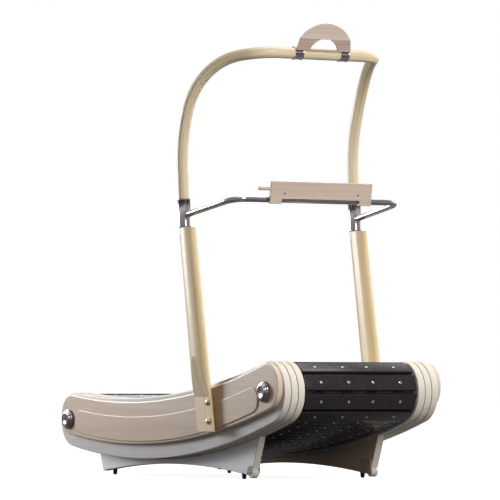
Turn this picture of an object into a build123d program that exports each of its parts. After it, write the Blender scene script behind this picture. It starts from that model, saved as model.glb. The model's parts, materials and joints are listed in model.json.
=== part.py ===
from build123d import *
import os
from math import atan2, cos, degrees, hypot, pi, radians, sin, sqrt

# Curved manual treadmill.  Millimetres, +X towards the high front end, +Y to the runner's left,
# +Z up.  The origin is on the floor, under the middle of the machine.

# ---- side frames: three laminated boards a side, hung on the lines of the two drum axles ----
REAR_X, REAR_Z = -763.0, 212.0
FRONT_X, FRONT_Z = 755.0, 318.0
BOARD_REAR_R, BOARD_FRONT_R = 104.0, 112.0
BOARD_TOP_LOW, BOARD_BOTTOM_LOW = 296.0, 65.0
BOARD_T = 28.0
BOARD_PITCH = 28.4
BOARD_BEVEL = 1.6
INNER_FACE = 240.0
OUTER_FACE = INNER_FACE + 2 * BOARD_PITCH + BOARD_T

# ---- side cover and the raised panel on it: end centres, end radii and lowest points ----
COVER_REAR = (-746.0, 231.0, 78.0)
COVER_FRONT = (769.0, 338.0, 84.0)
COVER_TOP_LOW, COVER_BOTTOM_LOW = 281.0, 120.0
COVER_T = 20.0
COVER_BEVEL_IN, COVER_BEVEL_DEEP = 5.0, 4.0
PANEL_REAR = (-662.0, 204.0, 44.0)
PANEL_FRONT = (665.0, 289.0, 46.0)
PANEL_TOP_LOW, PANEL_BOTTOM_LOW = 225.0, 131.0
PANEL_T = 4.0
PANEL_BEVEL = 2.2
SEAM = 0.1
COVER_FACE = OUTER_FACE + SEAM + COVER_T
PANEL_FACE = COVER_FACE + SEAM + PANEL_T

# ---- running belt: slats on four carrier belts round two drums ----
SLAT_COUNT = 59
SLAT_START = 0.75
SLAT_HALF_LENGTH = 234.0
SLAT_T = 14.0
SLAT_GAP = 2.4
SLAT_SEAT = 0.3
SLAT_BEVEL = 1.6
CARRIER_T = 4.0
CARRIER_W = 34.0
CARRIER_LINES = (-167.0, -51.0, 51.0, 167.0)
BELT_REAR_R, BELT_FRONT_R = 84.0, 92.0
BELT_TOP_LOW, BELT_BOTTOM_LOW = 273.0, 93.0
RUN_CLEARANCE = 0.35
SCREW_HEAD_R, SCREW_HEAD_H = 4.6, 2.4
SCREW_SHANK_R, SCREW_SHANK_L = 2.4, 12.0

# ---- drums, idlers and their axles ----
DRUM_HALF_LENGTH = 232.0
DRUM_SHELL = 5.0
DRUM_END_T = 15.0
BEARING_R = 26.0
BEARING_FIT = 0.02
AXLE_R = 10.0
RUN_FIT = 0.05
TOP_IDLER_X = (-600.0, -450.0, -300.0, -150.0, 0.0, 150.0, 300.0, 450.0, 600.0)
IDLER_R = 18.0
IDLER_HALF_LENGTH = 230.0
RETURN_IDLER_X = (-480.0, 0.0, 480.0)
RETURN_IDLER_R = 15.0
SPINDLE_R = 6.0
SPINDLE_DEPTH = 16.0
CAP_BASE_R, CAP_STEP_R, CAP_FACE_R = 38.0, 32.0, 27.0
CAP_RIM_T, CAP_T = 6.0, 18.0
CAP_STEP, CAP_EDGE = 3.0, 1.0

# ---- spreader tubes between the side frames ----
SPREADER_X = (-375.0, -75.0, 225.0, 525.0)
SPREADER_R = 16.0
TIE_R, TIE_HEAD_R, TIE_HEAD_T = 5.0, 9.0, 8.0
TIE_GRIP = 60.0

# ---- foot panels, feet and transport wheels ----
FOOT_Y = 254.0
FOOT_X_REAR, FOOT_X_FRONT = -548.0, 453.0
FOOT_SEAT_Z = 21.0
FOOT_TOP_R, FOOT_BASE_R = 9.5, 7.0
STEM_L = 12.0
ARCH_CROWN_Z, ARCH_R = 48.0, 4700.0
PANEL_MID_X = -50.0
PANEL_REAR_LOW_X, PANEL_FRONT_LOW_X = -614.0, 523.0
PANEL_REAR_SLOPE, PANEL_FRONT_SLOPE = 0.42, 0.40
WHEEL_X, WHEEL_Z, WHEEL_R = 522.0, 25.0, 20.0
WHEEL_W, WHEEL_GAP = 26.0, 2.5
WHEEL_ROUND = 3.0
WHEEL_AXLE_R = 4.0
HUB_R, HUB_DEPTH = 13.0, 1.5
BRACKET_T, BRACKET_ROUND = 4.0, 12.0
BRACKET_LONG, BRACKET_HIGH = 76.0, 52.0
BRACKET_BACK, BRACKET_UP = 22.0, 20.0
DOWEL_X = (-500.0, -390.0, 300.0, 420.0)
DOWEL_R, DOWEL_L = 7.0, 48.0

# ---- uprights ----
POST_Y = 370.0
POST_HALF_T = 22.0
POST_FOOT = (371.0, 174.0, 60.0)
POST_HEAD = (233.0, 926.0, 50.0)
POST_FLAT_Y, POST_FLAT_TOP, POST_RUN_OUT = 372.5, 300.0, 170.0
POST_BACK_CUT = 40.0
SLEEVE_FOOT = (213.0, 928.0)
SLEEVE_LENGTH, SLEEVE_LEAN = 104.0, 4.5
SPIGOT_ROOT = 40.0
SLEEVE_R = 24.0
TUBE_R = 21.5
FIT = 0.1
BOLT_SPOTS = ((392.0, 281.0), (397.0, 212.0))
BOLT_R, BOLT_HEAD_R, BOLT_HEAD_T = 5.0, 12.5, 9.0
BOLT_DOME = 6.3

# ---- top arch, handlebar and what they carry ----
ARCH_KNEE_UP, ARCH_KNEE_BEND = 221.0, 445.0
ARCH_SHOULDER = (297.0, 363.0, 1537.0)
ARCH_SHOULDER_BEND = 307.0
ARCH_CORNER = (568.0, 239.0, 1560.0)
ARCH_CORNER_BEND = 107.0
HANDLE_R = 11.0
HANDLE_X, HANDLE_Z = 553.0, 1021.0
HANDLE_CORNER_Y = 354.0
HANDLE_BEND = 62.0
HANDLE_ROOT_Z = 972.0
CONSOLE_HALF_W, CONSOLE_LOW, CONSOLE_HIGH = 216.0, -13.0, 70.0
CONSOLE_NOTCH_HALF_W, CONSOLE_NOTCH_TOP = 166.0, 6.0
CONSOLE_T, CONSOLE_OFFSET, CONSOLE_LEAN = 12.0, 12.0, 10.0
CLIP_Y, CLIP_W, CLIP_R = 192.0, 30.0, 14.0
CLIP_ARM_HIGH, CLIP_ARM_GAP = 44.0, 1.1
PLATE_ROUND, KNOB_ROUND = 4.0, 2.0
SCREW_Y, SCREW_UP = 157.0, 28.0
BIG_HEAD_R, BIG_HEAD_T, BIG_HEAD_ROUND = 5.5, 3.0, 1.4
BIG_SHANK_R, BIG_SHANK_L = 2.5, 11.0
KNOB_R, KNOB_L, KNOB_UP = 6.5, 50.0, 42.0
HOLDER_HALF_W, HOLDER_BEND_HALF_W = 114.0, 106.0
HOLDER_BEND_UP, HOLDER_TOP_UP = 44.0, 103.0
HOLDER_T, HOLDER_LOW_LEAN, HOLDER_HIGH_LEAN = 8.0, 19.0, 17.0
HOLDER_FOOT = (26.0, 10.0)
HOLDER_WINDOW_R, HOLDER_WINDOW_DROP, HOLDER_STRIP = 64.0, 18.0, 5.0
CLAMP_Y, CLAMP_W, CLAMP_R = 97.0, 36.0, 25.0
CLAMP_OPEN_DROP, CLAMP_OPENING = 10.0, 27.5


def sag_radius(rear, front, low_z, side):
    """Radius of the sagging arc that is tangent to both end circles and just reaches low_z."""
    def reach(radius):
        total = 0.0
        for _, z, end_r in (rear, front):
            rise = z + side * end_r - low_z
            total += sqrt(rise * (2 * radius + 2 * side * end_r - rise))
        return total
    small, large = 500.0, 50000.0
    while large - small > 1e-6:
        middle = (small + large) / 2
        small, large = (middle, large) if reach(middle) < front[0] - rear[0] else (small, middle)
    return small


def sag_centre(rear, low_z, side, radius):
    """Centre of that arc, found from the rear end circle."""
    x, z, end_r = rear
    rise = z + side * end_r - low_z
    return x + sqrt(rise * (2 * radius + 2 * side * end_r - rise)), radius + low_z


def loop_arcs(rear, front, top_low, bottom_low):
    """The closed outline as four tangent arcs (centre x, centre z, radius, start, sweep), clockwise."""
    top_r = sag_radius(rear, front, top_low, 1)
    top = sag_centre(rear, top_low, 1, top_r)
    low_r = sag_radius(rear, front, bottom_low, -1)
    low = sag_centre(rear, bottom_low, -1, low_r)

    def heading(a, b):
        return atan2(b[1] - a[1], b[0] - a[0])
    rear_top = heading(rear, top)
    front_top = heading(front, top)
    front_low = heading(low, front)
    rear_low = heading(low, rear)
    return (
        (top[0], top[1], top_r, rear_top - pi, front_top - rear_top),
        (front[0], front[1], front[2], front_top, front_low - front_top),
        (low[0], low[1], low_r, front_low, rear_low - front_low),
        (rear[0], rear[1], rear[2], rear_low, rear_top - rear_low - 2 * pi),
    )


def arc_point(arc, share):
    """Point and direction of travel at a share of an arc."""
    x, z, radius, start, sweep = arc
    angle = start + share * sweep
    travel = angle + (pi / 2 if sweep > 0 else -pi / 2)
    return x + radius * cos(angle), z + radius * sin(angle), travel


def loop_face(rear, front, top_low, bottom_low):
    """The outline as a face in the XZ plane."""
    edges = []
    for arc in loop_arcs(rear, front, top_low, bottom_low):
        spots = [arc_point(arc, share) for share in (0.0, 0.5, 1.0)]
        edges.append(ThreePointArc(*[(x, 0, z) for x, z, _ in spots]))
    return make_face(edges)


def loop_plate(face, near, far):
    """A plate of a face's outline between two distances from the middle plane, on the left."""
    return Pos(0, near, 0) * extrude(face, amount=far - near, dir=(0, 1, 0))


def outward_edges(plate):
    """The rim of a left-hand plate's outer face."""
    return plate.faces().sort_by(Axis.Y)[-1].outer_wire().edges()


def inward_edges(plate):
    """The rim of a left-hand plate's inner face."""
    return plate.faces().sort_by(Axis.Y)[0].outer_wire().edges()


def rod(x, z, radius, near, far):
    """A round bar along Y between two Y values."""
    middle = (near + far) / 2
    return Pos(x, middle, z) * Rot(90, 0, 0) * Cylinder(radius, abs(far - near))


def right_of(shape):
    """The right-hand twin of a left-hand piece."""
    return mirror(shape, about=Plane.XZ)


def save(name, *solids):
    """Write one node's STEP."""
    whole = solids[0] if len(solids) == 1 else Compound(children=list(solids))
    export_step(whole, f"parts/{name}.step")


def save_pair(name, shape):
    """Write a left-hand piece and its right-hand twin."""
    save(f"{name}_left", shape)
    save(f"{name}_right", right_of(shape))


def both_sides(shapes):
    """Left-hand pieces with their right-hand twins."""
    return list(shapes) + [right_of(shape) for shape in shapes]


BOARD_REAR = (REAR_X, REAR_Z, BOARD_REAR_R)
BOARD_FRONT = (FRONT_X, FRONT_Z, BOARD_FRONT_R)
BELT_REAR = (REAR_X, REAR_Z, BELT_REAR_R)
BELT_FRONT = (FRONT_X, FRONT_Z, BELT_FRONT_R)
BELT_LOOP = loop_arcs(BELT_REAR, BELT_FRONT, BELT_TOP_LOW, BELT_BOTTOM_LOW)
BOARD_LOOP = loop_arcs(BOARD_REAR, BOARD_FRONT, BOARD_TOP_LOW, BOARD_BOTTOM_LOW)


def height_on(arc, x):
    """Height of a sagging arc, which lies under its centre, at x."""
    return arc[1] - sqrt(arc[2] ** 2 - (x - arc[0]) ** 2)


def idler_height(x):
    """Axis height of a roller that carries the top run."""
    arc = BELT_LOOP[0]
    reach = arc[2] + CARRIER_T + RUN_CLEARANCE + IDLER_R
    return arc[1] - sqrt(reach ** 2 - (x - arc[0]) ** 2)


def return_height(x):
    """Axis height of a roller that guides the return run from inside the loop."""
    arc = BELT_LOOP[2]
    reach = arc[2] - CARRIER_T - RUN_CLEARANCE - RETURN_IDLER_R
    return arc[1] - sqrt(reach ** 2 - (x - arc[0]) ** 2)


def spreader_height(x):
    """Spreaders lie midway between the two runs."""
    return (height_on(BELT_LOOP[0], x) + height_on(BELT_LOOP[2], x)) / 2


def frame_holes():
    """Everything bored through the left-hand boards and cover."""
    cuts = []
    for x, z in ((REAR_X, REAR_Z), (FRONT_X, FRONT_Z)):
        cuts.append(rod(x, z, AXLE_R + FIT, 0, POST_Y))
    for x, z in BOLT_SPOTS:
        cuts.append(rod(x, z, BOLT_R + FIT, 0, POST_Y + POST_HALF_T))
    return cuts


def spindle_holes():
    """Blind bearings for the roller spindles, in the inner board."""
    depth = INNER_FACE + SPINDLE_DEPTH + 1
    cuts = []
    for x in TOP_IDLER_X:
        cuts.append(rod(x, idler_height(x), SPINDLE_R + RUN_FIT, 0, depth))
    for x in RETURN_IDLER_X:
        cuts.append(rod(x, return_height(x), SPINDLE_R + RUN_FIT, 0, depth))
    return cuts


def tie_holes(radius):
    """Holes on the spreader lines, right through the boards."""
    return [rod(x, spreader_height(x), radius, 0, OUTER_FACE + 1) for x in SPREADER_X]


def dowel_middle(x):
    """Middle height of a dowel between the inner board and its foot panel."""
    return height_on(BOARD_LOOP[2], x)


def dowels():
    """Upright steel dowels, left side."""
    return [Pos(x, FOOT_Y, dowel_middle(x)) * Cylinder(DOWEL_R, DOWEL_L) for x in DOWEL_X]


def dowel_holes():
    """Blind holes for the dowels."""
    return [Pos(x, FOOT_Y, dowel_middle(x)) * Cylinder(DOWEL_R + FIT, DOWEL_L + 1) for x in DOWEL_X]


def side_boards():
    """Inner, middle and outer laminated boards, left side, with softened rims."""
    face = loop_face(BOARD_REAR, BOARD_FRONT, BOARD_TOP_LOW, BOARD_BOTTOM_LOW)
    extra = {
        "inner_board": spindle_holes() + dowel_holes() + tie_holes(TIE_R + FIT),
        "middle_board": tie_holes(TIE_R + FIT),
        "outer_board": tie_holes(TIE_HEAD_R + 1),
    }
    for step, (name, cuts) in enumerate(extra.items()):
        near = INNER_FACE + step * BOARD_PITCH
        board = loop_plate(face, near, near + BOARD_T)
        board = chamfer(outward_edges(board) + inward_edges(board), BOARD_BEVEL)
        for cut in frame_holes() + cuts:
            board -= cut
        save_pair(name, board)


def side_cover():
    """Bevelled cover over the outer board."""
    face = loop_face(COVER_REAR, COVER_FRONT, COVER_TOP_LOW, COVER_BOTTOM_LOW)
    cover = loop_plate(face, OUTER_FACE + SEAM, COVER_FACE)
    cover = chamfer(outward_edges(cover), COVER_BEVEL_DEEP, COVER_BEVEL_IN)
    for cut in frame_holes():
        cover -= cut
    save_pair("side_cover", cover)


def cover_panel():
    """Thin raised panel on the cover."""
    face = loop_face(PANEL_REAR, PANEL_FRONT, PANEL_TOP_LOW, PANEL_BOTTOM_LOW)
    panel = loop_plate(face, COVER_FACE + SEAM, PANEL_FACE)
    panel = chamfer(outward_edges(panel), PANEL_BEVEL)
    for cut in frame_holes():
        panel -= cut
    save_pair("cover_panel", panel)


def axle_cap(x, z):
    """Stepped and turned cap over an axle's end."""
    shoulder = CAP_T - CAP_STEP
    points = [(0, 0), (CAP_BASE_R, 0), (CAP_BASE_R, CAP_RIM_T), (CAP_STEP_R, shoulder),
              (CAP_FACE_R + CAP_EDGE, shoulder), (CAP_FACE_R, CAP_T), (0, CAP_T)]
    shape = revolve(Plane.XZ * make_face(Polyline(*points, close=True)), Axis.Z)
    return Pos(x, COVER_FACE + SEAM, z) * Rot(-90, 0, 0) * shape


def axles_and_caps():
    """Fixed axles across the machine and the caps that hide their ends."""
    for name, x, z in (("front", FRONT_X, FRONT_Z), ("rear", REAR_X, REAR_Z)):
        save(f"{name}_axle", rod(x, z, AXLE_R, -COVER_FACE, COVER_FACE))
        save_pair(f"{name}_axle_cap", axle_cap(x, z))


def drum(radius):
    """Hollow drum with solid ends, about the Y axis."""
    shell = rod(0, 0, radius, -DRUM_HALF_LENGTH, DRUM_HALF_LENGTH)
    room = DRUM_HALF_LENGTH - DRUM_END_T
    shell -= rod(0, 0, radius - DRUM_SHELL, -room, room)
    return shell - rod(0, 0, BEARING_R + BEARING_FIT, -DRUM_HALF_LENGTH, DRUM_HALF_LENGTH)


def bearing(side):
    """Plain ring that stands for a ball bearing in a drum end."""
    near = DRUM_HALF_LENGTH - DRUM_END_T
    ring = rod(0, 0, BEARING_R, side * near, side * DRUM_HALF_LENGTH)
    return ring - rod(0, 0, AXLE_R + RUN_FIT, side * near, side * DRUM_HALF_LENGTH)


def drums():
    """Front and rear drums with their bearings."""
    for name, end in (("front", BELT_FRONT), ("rear", BELT_REAR)):
        x, z, radius = end
        place = Pos(x, 0, z)
        save(f"{name}_drum", place * drum(radius - CARRIER_T - RUN_CLEARANCE))
        save(f"{name}_drum_bearings", place * bearing(-1), place * bearing(1))


def roller(x, z, radius):
    """Roller with a spindle at each end."""
    reach = INNER_FACE + SPINDLE_DEPTH
    return rod(x, z, radius, -IDLER_HALF_LENGTH, IDLER_HALF_LENGTH) + rod(x, z, SPINDLE_R, -reach, reach)


def rollers():
    """Rollers under the top run and above the return run."""
    for number, x in enumerate(TOP_IDLER_X, 1):
        save(f"top_roller_{number}", roller(x, idler_height(x), IDLER_R))
    for number, x in enumerate(RETURN_IDLER_X, 1):
        save(f"return_roller_{number}", roller(x, return_height(x), RETURN_IDLER_R))


def carrier_belts():
    """Four endless belts that carry the slats."""
    outside = loop_face(BELT_REAR, BELT_FRONT, BELT_TOP_LOW, BELT_BOTTOM_LOW)
    rear = (REAR_X, REAR_Z, BELT_REAR_R - CARRIER_T)
    front = (FRONT_X, FRONT_Z, BELT_FRONT_R - CARRIER_T)
    inside = loop_face(rear, front, BELT_TOP_LOW - CARRIER_T, BELT_BOTTOM_LOW + CARRIER_T)
    belts = []
    for line in CARRIER_LINES:
        edges = (line - CARRIER_W / 2, line + CARRIER_W / 2)
        belts.append(loop_plate(outside, *edges) - loop_plate(inside, *edges))
    save("carrier_belts", *belts)


def loop_lengths():
    """Length of each arc along the middle of the carrier belts."""
    lengths = []
    for number, (_, _, radius, _, sweep) in enumerate(BELT_LOOP):
        middle = radius + CARRIER_T / 2 if number == 0 else radius - CARRIER_T / 2
        lengths.append(middle * abs(sweep))
    return lengths


def slat_places():
    """Location of each slat: local X along the travel, local Z outwards, on the belts' outside."""
    lengths = loop_lengths()
    pitch = sum(lengths) / SLAT_COUNT
    places = []
    for number in range(SLAT_COUNT):
        along = (number + SLAT_START) * pitch
        part = 0
        while along > lengths[part]:
            along -= lengths[part]
            part += 1
        x, z, travel = arc_point(BELT_LOOP[part], along / lengths[part])
        places.append(Pos(x, 0, z) * Rot(0, -degrees(travel), 0))
    return pitch, places


def slat(width):
    """One slat with bevelled long edges, sitting just clear of the belts."""
    plank = Pos(0, 0, SLAT_SEAT + SLAT_T / 2) * Box(width, 2 * SLAT_HALF_LENGTH, SLAT_T)
    rims = plank.faces().sort_by(Axis.Z)[-1].edges()
    plank = chamfer(rims, SLAT_BEVEL)
    for line in CARRIER_LINES:
        top = Pos(0, line, SLAT_SEAT + SLAT_T)
        plank -= top * Cylinder(SCREW_HEAD_R + FIT, 2 * SCREW_HEAD_H)
        plank -= top * Pos(0, 0, -SCREW_SHANK_L / 2) * Cylinder(SCREW_SHANK_R + FIT, SCREW_SHANK_L)
    return plank


def slat_screw():
    """Screw whose crowned head sits in the slat's recess."""
    top = SLAT_SEAT + SLAT_T
    head = Pos(0, 0, top - SCREW_HEAD_H / 2) * Cylinder(SCREW_HEAD_R, SCREW_HEAD_H - FIT)
    head = chamfer(head.faces().sort_by(Axis.Z)[-1].edges(), SCREW_HEAD_H / 3)
    shank = Pos(0, 0, top - SCREW_SHANK_L / 2) * Cylinder(SCREW_SHANK_R, SCREW_SHANK_L - 1)
    return head + shank


def running_surface():
    """All slats and all of their screws."""
    pitch, places = slat_places()
    plank = slat(pitch - SLAT_GAP)
    save("slats", *[place * plank for place in places])
    screw = slat_screw()
    save("slat_screws", *[place * Pos(0, line, 0) * screw for place in places for line in CARRIER_LINES])


def spreaders():
    """Tubes that hold the two sides apart, and the bolts into their ends."""
    tubes = []
    bolts = []
    half = INNER_FACE - FIT
    head_near = INNER_FACE + BOARD_PITCH + BOARD_T + FIT
    for x in SPREADER_X:
        z = spreader_height(x)
        tubes.append(rod(x, z, SPREADER_R, -half, half) - rod(x, z, TIE_R + FIT, -half, half))
        shank = rod(x, z, TIE_R, half - TIE_GRIP, head_near)
        bolts.append(shank + rod(x, z, TIE_HEAD_R, head_near, head_near + TIE_HEAD_T))
    save("spreader_tubes", *tubes)
    save("tie_bolts", *both_sides(bolts))


def foot_panel():
    """Arched panel under a side frame, left side, with the wheel's notch and flat seats for the feet."""
    near, far = FOOT_Y - BOARD_T / 2, FOOT_Y + BOARD_T / 2
    top = FRONT_Z
    outline = Polyline(
        (PANEL_REAR_LOW_X, 0, 0), (PANEL_FRONT_LOW_X, 0, 0),
        (PANEL_FRONT_LOW_X + PANEL_FRONT_SLOPE * top, 0, top),
        (PANEL_REAR_LOW_X - PANEL_REAR_SLOPE * top, 0, top), close=True)
    panel = loop_plate(make_face(outline), near, far)
    panel -= rod(PANEL_MID_X, ARCH_CROWN_Z - ARCH_R, ARCH_R, near - 1, far + 1)
    arc = BOARD_LOOP[2]
    panel -= rod(arc[0], arc[1], arc[2] + FIT, near - 1, far + 1)
    for x in (FOOT_X_REAR, FOOT_X_FRONT):
        panel -= Pos(x, FOOT_Y, FOOT_SEAT_Z / 2) * Box(4 * FOOT_TOP_R, 2 * BOARD_T, FOOT_SEAT_Z)
        panel -= Pos(x, FOOT_Y, FOOT_SEAT_Z) * Cylinder(WHEEL_AXLE_R + FIT, 2 * STEM_L + 3)
    return panel


def foot_panels():
    """Foot panels with a fork at the front corner for each transport wheel."""
    panel = foot_panel()
    room = WHEEL_R + WHEEL_GAP
    panel -= rod(WHEEL_X, WHEEL_Z, room, FOOT_Y - BOARD_T, FOOT_Y + BOARD_T)
    for cut in dowel_holes():
        panel -= cut
    panel = panel.solids().sort_by(SortBy.VOLUME)[-1]
    cheek = wheel_cheek()
    save_pair("foot_panel", panel)
    save_pair("wheel_bracket", cheek)


def wheel_cheek():
    """Steel plate on the panel's inner face that carries the wheel's axle."""
    near = FOOT_Y - BOARD_T / 2 - SEAM
    middle = Pos(WHEEL_X - BRACKET_BACK, near - BRACKET_T / 2, WHEEL_Z + BRACKET_UP)
    plate = middle * Box(BRACKET_LONG, BRACKET_T, BRACKET_HIGH)
    plate = fillet(plate.edges().filter_by(Axis.Y), BRACKET_ROUND)
    return plate + rod(WHEEL_X, WHEEL_Z, WHEEL_AXLE_R, near - BRACKET_T, FOOT_Y + BOARD_T / 2)


def transport_wheel():
    """Wheel with a rounded tread and a hub face."""
    wheel = Rot(90, 0, 0) * Cylinder(WHEEL_R, WHEEL_W)
    wheel = fillet(wheel.edges(), WHEEL_ROUND)
    for side in (-1, 1):
        wheel -= Pos(0, side * WHEEL_W / 2, 0) * Rot(90, 0, 0) * Cylinder(HUB_R, 2 * HUB_DEPTH)
    wheel -= Rot(90, 0, 0) * Cylinder(WHEEL_AXLE_R + RUN_FIT, WHEEL_W)
    return Pos(WHEEL_X, FOOT_Y + 0.5, WHEEL_Z) * wheel


def rubber_foot(x):
    """Tapered rubber stud with a short threaded stem."""
    stud = Pos(x, FOOT_Y, FOOT_SEAT_Z / 2) * Cone(FOOT_BASE_R, FOOT_TOP_R, FOOT_SEAT_Z - FIT)
    return stud + Pos(x, FOOT_Y, FOOT_SEAT_Z + STEM_L / 2) * Cylinder(WHEEL_AXLE_R, STEM_L + 1)


def post_flats():
    """What is milled off a post: its inner side, and its outer side with a long run-out."""
    wide = 2 * POST_FOOT[0]
    high = POST_HEAD[1] + 1
    back = PANEL_FACE + SEAM - POST_BACK_CUT / 2
    inner = Pos(POST_FOOT[0], back, high / 2) * Box(wide, POST_BACK_CUT, high)
    far = POST_FLAT_Y + POST_HALF_T
    outline = Polyline((0, POST_FLAT_Y, 0), (0, POST_FLAT_Y, POST_FLAT_TOP),
                       (0, far, POST_FLAT_TOP + POST_RUN_OUT), (0, far, 0), close=True)
    return inner + extrude(make_face(outline), amount=wide, dir=(1, 0, 0))


def post():
    """Tapered oval leg, milled flat where it is bolted on, with a round spigot on top."""
    sections = []
    for x, z, half in (POST_FOOT, POST_HEAD):
        sections.append(Pos(x, POST_Y, z) * Ellipse(half, POST_HALF_T))
    leg = loft(sections) - post_flats()
    spigot = SPIGOT_ROOT + SLEEVE_LENGTH / 2 - 1
    leg += sleeve_place(spigot / 2 - SPIGOT_ROOT) * Cylinder(TUBE_R, spigot)
    for x, z in BOLT_SPOTS:
        leg -= rod(x, z, BOLT_R + FIT, PANEL_FACE - 5, POST_Y + POST_HALF_T)
    return leg


def sleeve_place(height):
    """Location on the sleeve's axis, which leans back with the post."""
    return Pos(SLEEVE_FOOT[0], POST_Y, SLEEVE_FOOT[1]) * Rot(0, -SLEEVE_LEAN, 0) * Pos(0, 0, height)


def sleeve():
    """Chrome sleeve that joins a post to the arch."""
    tube = Cylinder(SLEEVE_R, SLEEVE_LENGTH) - Cylinder(TUBE_R + FIT, SLEEVE_LENGTH)
    return sleeve_place(SLEEVE_LENGTH / 2) * tube


def arch():
    """One bent tube: two legs, two shoulders and the cross bar."""
    foot = sleeve_place(SLEEVE_LENGTH / 2).position
    knee = sleeve_place(SLEEVE_LENGTH + ARCH_KNEE_UP).position
    half = [tuple(foot), tuple(knee), ARCH_SHOULDER, ARCH_CORNER]
    points = half + [(x, -y, z) for x, y, z in reversed(half)]
    bends = [ARCH_KNEE_BEND, ARCH_SHOULDER_BEND, ARCH_CORNER_BEND]
    path = FilletPolyline(*points, radius=bends + bends[::-1])
    section = Plane(origin=path @ 0, z_dir=path % 0) * Circle(TUBE_R)
    return sweep(section, path)


def handlebar():
    """Bent chrome tube from sleeve to sleeve, in front of the runner."""
    root = (SLEEVE_FOOT[0], POST_Y, HANDLE_ROOT_Z)
    corner = (HANDLE_X, HANDLE_CORNER_Y, HANDLE_Z)
    points = [root, corner, (corner[0], -corner[1], corner[2]), (root[0], -root[1], root[2])]
    path = FilletPolyline(*points, radius=HANDLE_BEND)
    section = Plane(origin=path @ 0, z_dir=path % 0) * Circle(HANDLE_R)
    bar = sweep(section, path)
    room = sleeve_place(SLEEVE_LENGTH / 2) * Cylinder(SLEEVE_R + FIT, 2 * SLEEVE_LENGTH)
    return bar - room - right_of(room)


def console_plate():
    """Plate in front of the bar: end tabs reach down over it and a notch clears its middle."""
    high = CONSOLE_HIGH - CONSOLE_LOW
    plate = Pos(0, 0, CONSOLE_LOW + high / 2) * Box(CONSOLE_T, 2 * CONSOLE_HALF_W, high)
    plate = fillet(plate.edges().filter_by(Axis.X), PLATE_ROUND)
    notch = CONSOLE_NOTCH_TOP - CONSOLE_LOW
    plate -= Pos(0, 0, CONSOLE_LOW + notch / 2) * Box(CONSOLE_T, 2 * CONSOLE_NOTCH_HALF_W, notch)
    return plate


def on_handle():
    """Location of the bar's middle, leaned as the console leans."""
    return Pos(HANDLE_X, 0, HANDLE_Z) * Rot(0, CONSOLE_LEAN, 0)


def console_clip(y):
    """Split ring on the bar with an arm up the plate's back."""
    ring = Pos(0, y, 0) * Rot(90, 0, 0) * Cylinder(CLIP_R, CLIP_W)
    thick = CONSOLE_OFFSET - CLIP_ARM_GAP
    clip = ring + Pos(thick / 2, y, CLIP_ARM_HIGH / 2) * Box(thick, CLIP_W, CLIP_ARM_HIGH)
    clip -= Pos(CONSOLE_OFFSET - FIT + CLIP_R / 2, y, 0) * Box(CLIP_R, CLIP_W + 1, 3 * CLIP_R)
    clip -= Pos(0, y, 0) * Rot(90, 0, 0) * Cylinder(HANDLE_R + RUN_FIT, CLIP_W)
    return clip


def console_screw(y):
    """Round-headed screw in the plate's front."""
    face = CONSOLE_OFFSET + CONSOLE_T
    seat = face + FIT
    head = Pos(seat + BIG_HEAD_T / 2, y, SCREW_UP) * Rot(0, 90, 0) * Cylinder(BIG_HEAD_R, BIG_HEAD_T)
    head = fillet(head.faces().sort_by(Axis.X)[-1].edges(), BIG_HEAD_ROUND)
    shank = Pos(face + 1 - BIG_SHANK_L / 2, y, SCREW_UP) * Rot(0, 90, 0) * Cylinder(BIG_SHANK_R, BIG_SHANK_L)
    return head + shank


def console():
    """Console plate, the two clips that hold it to the bar, their screws and the tilt knob."""
    middle = CONSOLE_OFFSET + CONSOLE_T / 2
    plate = Pos(middle, 0, 0) * console_plate()
    for y in (-SCREW_Y, SCREW_Y):
        plate -= Pos(middle, y, SCREW_UP) * Rot(0, 90, 0) * Cylinder(BIG_SHANK_R + FIT, 2 * CONSOLE_T)
    knob_middle = -CONSOLE_HALF_W - FIT - KNOB_L / 2
    knob = Pos(middle, knob_middle, KNOB_UP) * Rot(90, 0, 0) * Cylinder(KNOB_R, KNOB_L)
    knob = fillet(knob.edges(), KNOB_ROUND)
    save("console_plate", on_handle() * plate)
    save("console_clips", *[on_handle() * console_clip(y) for y in (-CLIP_Y, CLIP_Y)])
    save("console_screws", *[on_handle() * console_screw(y) for y in (-SCREW_Y, SCREW_Y)])
    save("console_peg", on_handle() * knob)


def holder_sheet(half_low, half_high, low, high, thick):
    """Flat piece in the local YZ plane between two heights, thickness along local X."""
    outline = Polyline((0, -half_low, low), (0, half_low, low), (0, half_high, high),
                       (0, -half_high, high), close=True)
    return extrude(make_face(outline), amount=thick / 2, both=True, dir=(1, 0, 0))


def holder():
    """Bent plate with a rounded top and an arched window, leaning away from the runner."""
    low = holder_sheet(HOLDER_HALF_W, HOLDER_BEND_HALF_W, 0, HOLDER_BEND_UP, HOLDER_T)
    window = Pos(0, 0, -HOLDER_WINDOW_DROP) * Rot(0, 90, 0) * Cylinder(HOLDER_WINDOW_R, 2 * HOLDER_T)
    keep = Pos(0, 0, HOLDER_STRIP - 50) * Box(4 * HOLDER_T, 4 * HOLDER_WINDOW_R, 100)
    low -= window - keep
    rise = HOLDER_TOP_UP - HOLDER_BEND_UP
    base = Line((0, -HOLDER_BEND_HALF_W, 0), (0, HOLDER_BEND_HALF_W, 0))
    crown = ThreePointArc((0, HOLDER_BEND_HALF_W, 0), (0, 0, rise), (0, -HOLDER_BEND_HALF_W, 0))
    high = extrude(make_face([base, crown]), amount=HOLDER_T / 2, both=True, dir=(1, 0, 0))
    bend = Pos(0, 0, HOLDER_BEND_UP) * Rot(0, HOLDER_HIGH_LEAN - HOLDER_LOW_LEAN, 0)
    foot = Pos(ARCH_CORNER[0] + HOLDER_FOOT[0], 0, ARCH_CORNER[2] + HOLDER_FOOT[1])
    return foot * Rot(0, HOLDER_LOW_LEAN, 0) * (low + bend * high)


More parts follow.
